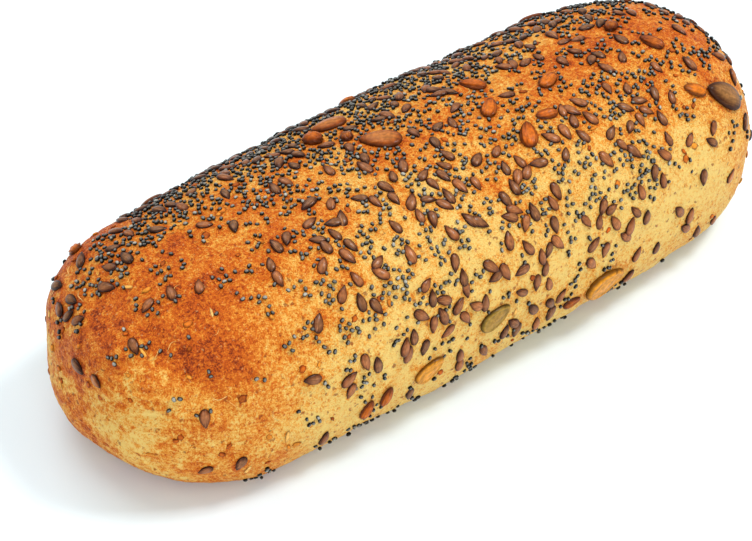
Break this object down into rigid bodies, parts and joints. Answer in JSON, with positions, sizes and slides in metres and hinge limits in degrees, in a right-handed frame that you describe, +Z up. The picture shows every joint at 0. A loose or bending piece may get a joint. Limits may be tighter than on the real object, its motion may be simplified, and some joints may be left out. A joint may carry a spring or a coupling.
{
  "type": "wholemeal baguette",
  "caption": "Short wholemeal baguette: a baked loaf with a domed crust coated in seeds and a flat base, ready to slice or tear.",
  "frame": {"origin": "on the table, under the middle of the loaf's bounding box", "axes": "+X along the loaf towards its fuller end, +Z up, -Y the side that faces the picture's camera"},
  "size_m": [0.222, 0.0892, 0.0609],
  "materials": {
    "crust": "matte baked crust, golden ochre to orange brown",
    "poppy_seed": "matte blue grey to black",
    "flax_seed": "satin red brown",
    "pumpkin_seed": "satin olive to toasted brown",
    "sunflower_kernel": "satin toasted orange",
    "wheat_grain": "satin dark toasted brown",
    "grain_flake": "matte straw yellow"
  },
  "bodies": {
    "root": {"wholemeal_baguette": "crust"}
  },
  "joints": []
}
